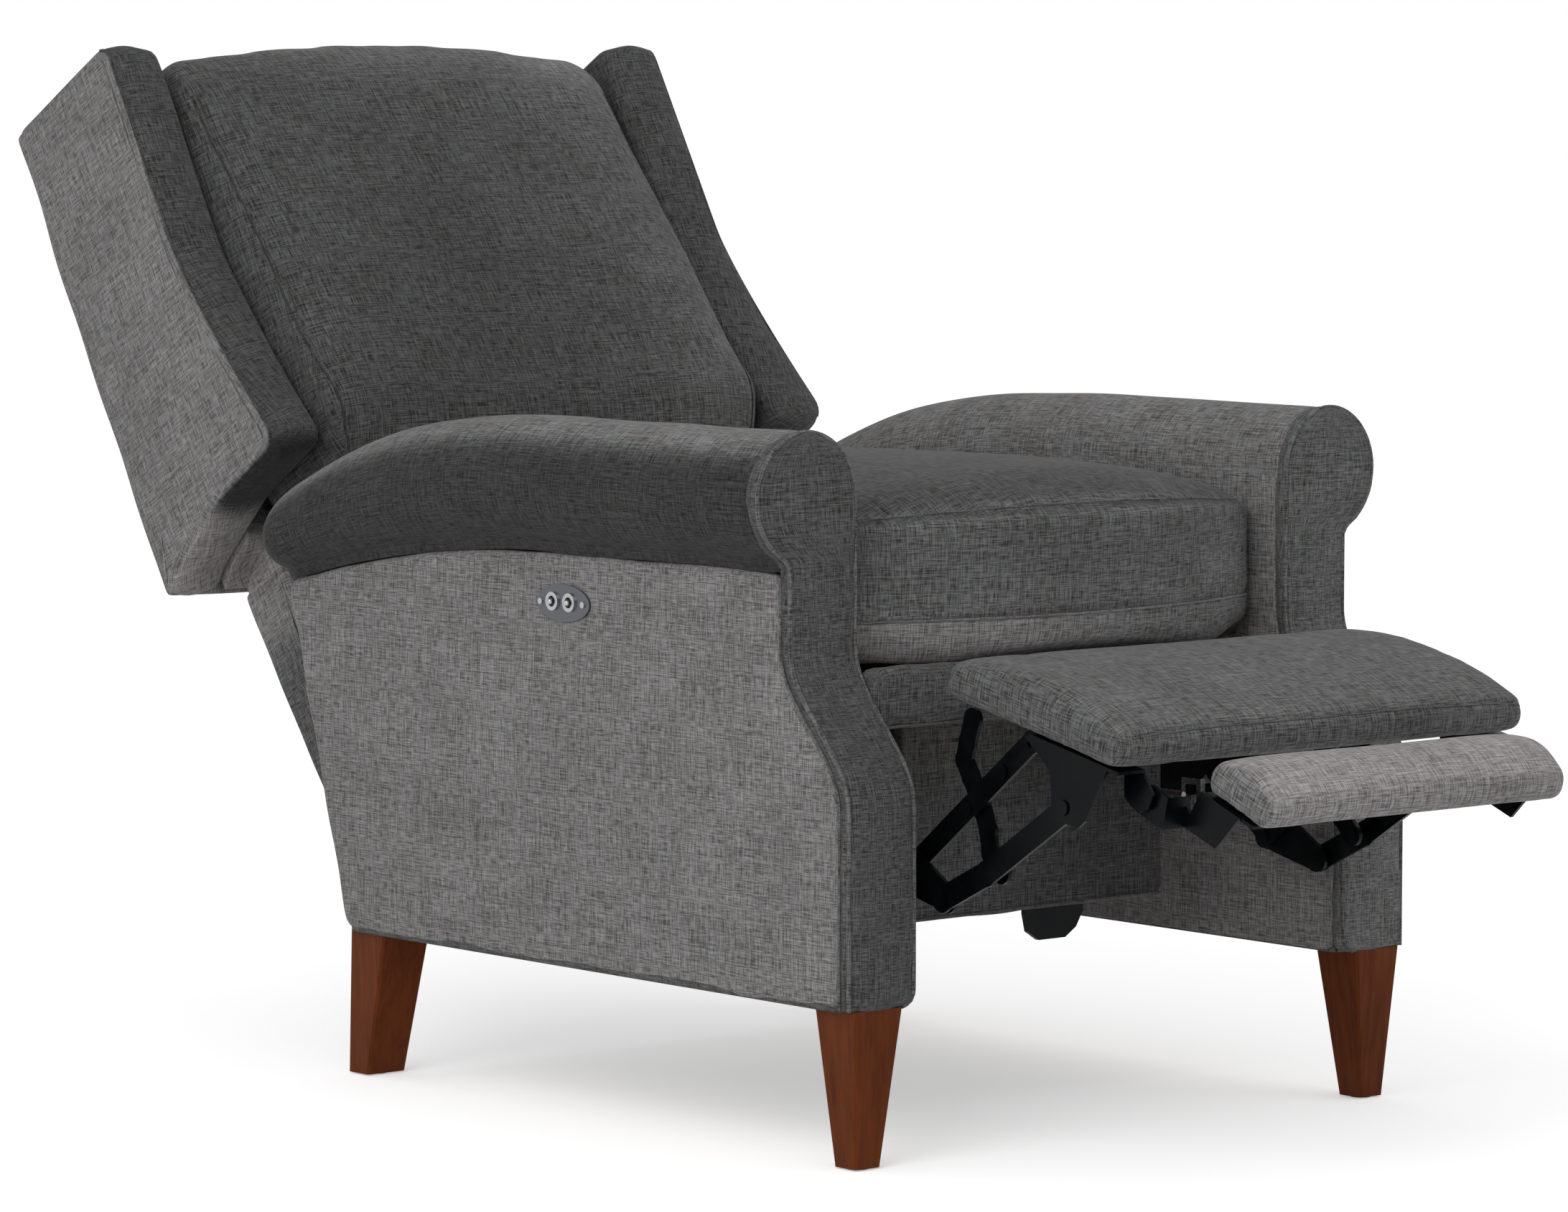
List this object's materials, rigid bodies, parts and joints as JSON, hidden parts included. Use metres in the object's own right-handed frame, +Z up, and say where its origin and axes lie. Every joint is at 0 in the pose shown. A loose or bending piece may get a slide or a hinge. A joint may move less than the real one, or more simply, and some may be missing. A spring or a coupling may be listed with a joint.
{
  "type": "high-leg recliner",
  "caption": "Upholstered wing-back recliner on tapered wooden legs, with rolled arms, a power back that reclines and a fold-out footrest with a flipper.",
  "frame": {"origin": "middle of the footprint on the floor, with the back reclined and the footrest out", "axes": "+Z up, -Y towards the front of the chair, -X towards the sitter's right arm"},
  "size_m": [0.782, 1.6749, 1.0018],
  "materials": {
    "side_fabric": "heathered chenille, lighter nap",
    "fabric": "heathered charcoal chenille",
    "legs": "satin reddish brown stain",
    "frame_wood": "bare hardwood and plywood",
    "black_steel": "black painted steel",
    "bright_steel": "zinc plated steel",
    "brushed_plate": "brushed steel",
    "black_plastic": "matte black"
  },
  "bodies": {
    "base": {"arm_frame_right": "frame_wood", "arm_frame_left": "frame_wood", "arm_side_right": "side_fabric", "arm_side_left": "side_fabric", "arm_inside_right": "fabric", "arm_inside_left": "fabric", "arm_roll_right": "fabric", "arm_roll_left": "fabric", "arm_front_right": "fabric", "arm_front_left": "fabric", "leg_front_right": "legs", "leg_front_left": "legs", "leg_rear_right": "legs", "leg_rear_left": "legs", "leg_bolts": "bright_steel", "leg_glides": "black_plastic", "front_band": "fabric", "front_beam": "frame_wood", "front_apron": "fabric", "rear_rail": "frame_wood", "side_plate_right": "black_steel", "side_plate_left": "black_steel", "base_tubes": "black_steel", "frame_bolts": "bright_steel", "centre_foot": "black_steel", "recline_motor": "black_steel", "footrest_motor": "black_steel", "power_box": "black_plastic", "switch_plate": "brushed_plate", "switch_box": "black_plastic", "toggle_bezels": "bright_steel", "switch_screws": "bright_steel"},
    "back_toggle": {"toggle_back": "bright_steel"},
    "footrest_toggle": {"toggle_footrest": "bright_steel"},
    "seat": {"seat_side_rails": "frame_wood", "seat_cross_rails": "frame_wood", "seat_springs": "bright_steel", "seat_lip": "side_fabric", "seat_cushion": "fabric"},
    "back": {"back_posts": "frame_wood", "back_cross_rails": "frame_wood", "back_springs": "bright_steel", "back_panel": "side_fabric", "lower_back": "side_fabric", "wing_right": "fabric", "wing_left": "fabric", "back_cushion": "fabric", "back_brackets": "black_steel", "crank_tube": "black_steel"},
    "recline_push": {"recline_rod": "bright_steel"},
    "footrest_push": {"footrest_rod": "bright_steel"},
    "drive": {"drive_links": "black_steel", "drive_tube": "black_steel"},
    "lift": {"lift_links": "black_steel"},
    "stay": {"stay_links": "black_steel"},
    "cross": {"cross_links": "black_steel"},
    "footrest": {"footrest_pad": "fabric", "footrest_brackets": "black_steel"},
    "flipper": {"flipper_pad": "side_fabric", "flipper_arms": "black_steel"}
  },
  "joints": [
    {"name": "back_recline", "type": "hinge", "parent": "base", "child": "back", "pos_m": [0, 0.25773, 0.3], "axis": [1, 0, 0], "range_deg": [0, 25]},
    {"name": "seat_glide", "type": "slide", "parent": "base", "child": "seat", "axis": [0, 0.8449, -0.5349], "range_m": [0, 0.0451]},
    {"name": "recline_stroke", "type": "slide", "parent": "base", "child": "recline_push", "axis": [0, 1, 0], "range_m": [0, 0.0362]},
    {"name": "footrest_fold", "type": "hinge", "parent": "base", "child": "drive", "pos_m": [0, -0.30727, 0.34], "axis": [1, 0, 0], "range_deg": [0, 87.8]},
    {"name": "footrest_stroke", "type": "slide", "parent": "base", "child": "footrest_push", "axis": [0, 1, 0], "range_m": [0, 0.0833]},
    {"name": "lift_turn", "type": "hinge", "parent": "drive", "child": "lift", "pos_m": [0, -0.47227, 0.239], "axis": [1, 0, 0], "range_deg": [-92.2, 0]},
    {"name": "stay_turn", "type": "hinge", "parent": "drive", "child": "stay", "pos_m": [0, -0.40764, 0.25462], "axis": [1, 0, 0], "range_deg": [-81.8, 0]},
    {"name": "cross_turn", "type": "hinge", "parent": "lift", "child": "cross", "pos_m": [0, -0.53127, 0.268], "axis": [1, 0, 0], "range_deg": [0, 68.1]},
    {"name": "pad_tilt", "type": "hinge", "parent": "lift", "child": "footrest", "pos_m": [0, -0.63827, 0.33698], "axis": [1, 0, 0], "range_deg": [0, 82.1]},
    {"name": "flipper_fold", "type": "hinge", "parent": "footrest", "child": "flipper", "pos_m": [0, -0.70511, 0.35015], "axis": [1, 0, 0], "range_deg": [0, 172.1]},
    {"name": "back_switch", "type": "hinge", "parent": "base", "child": "back_toggle", "pos_m": [-0.346, -0.05177, 0.488], "axis": [0, 1, 0], "range_deg": [-10, 10], "stiffness_Nm_per_rad": 0.02},
    {"name": "footrest_switch", "type": "hinge", "parent": "base", "child": "footrest_toggle", "pos_m": [-0.346, -0.07677, 0.488], "axis": [0, 1, 0], "range_deg": [-10, 10], "stiffness_Nm_per_rad": 0.02}
  ],
  "couplings": [
    {"joint": "seat_glide", "follows": "back_recline", "m_per_rad": 0.10313},
    {"joint": "recline_stroke", "follows": "back_recline", "m_per_rad": 0.08274},
    {"joint": "footrest_stroke", "follows": "footrest_fold", "m_per_rad": 0.05428},
    {"joint": "lift_turn", "follows": "footrest_fold", "ratio": -1.0493},
    {"joint": "stay_turn", "follows": "footrest_fold", "ratio": -0.93122},
    {"joint": "cross_turn", "follows": "footrest_fold", "ratio": 0.7747},
    {"joint": "pad_tilt", "follows": "footrest_fold", "ratio": 0.93409},
    {"joint": "flipper_fold", "follows": "footrest_fold", "ratio": 1.9586}
  ]
}
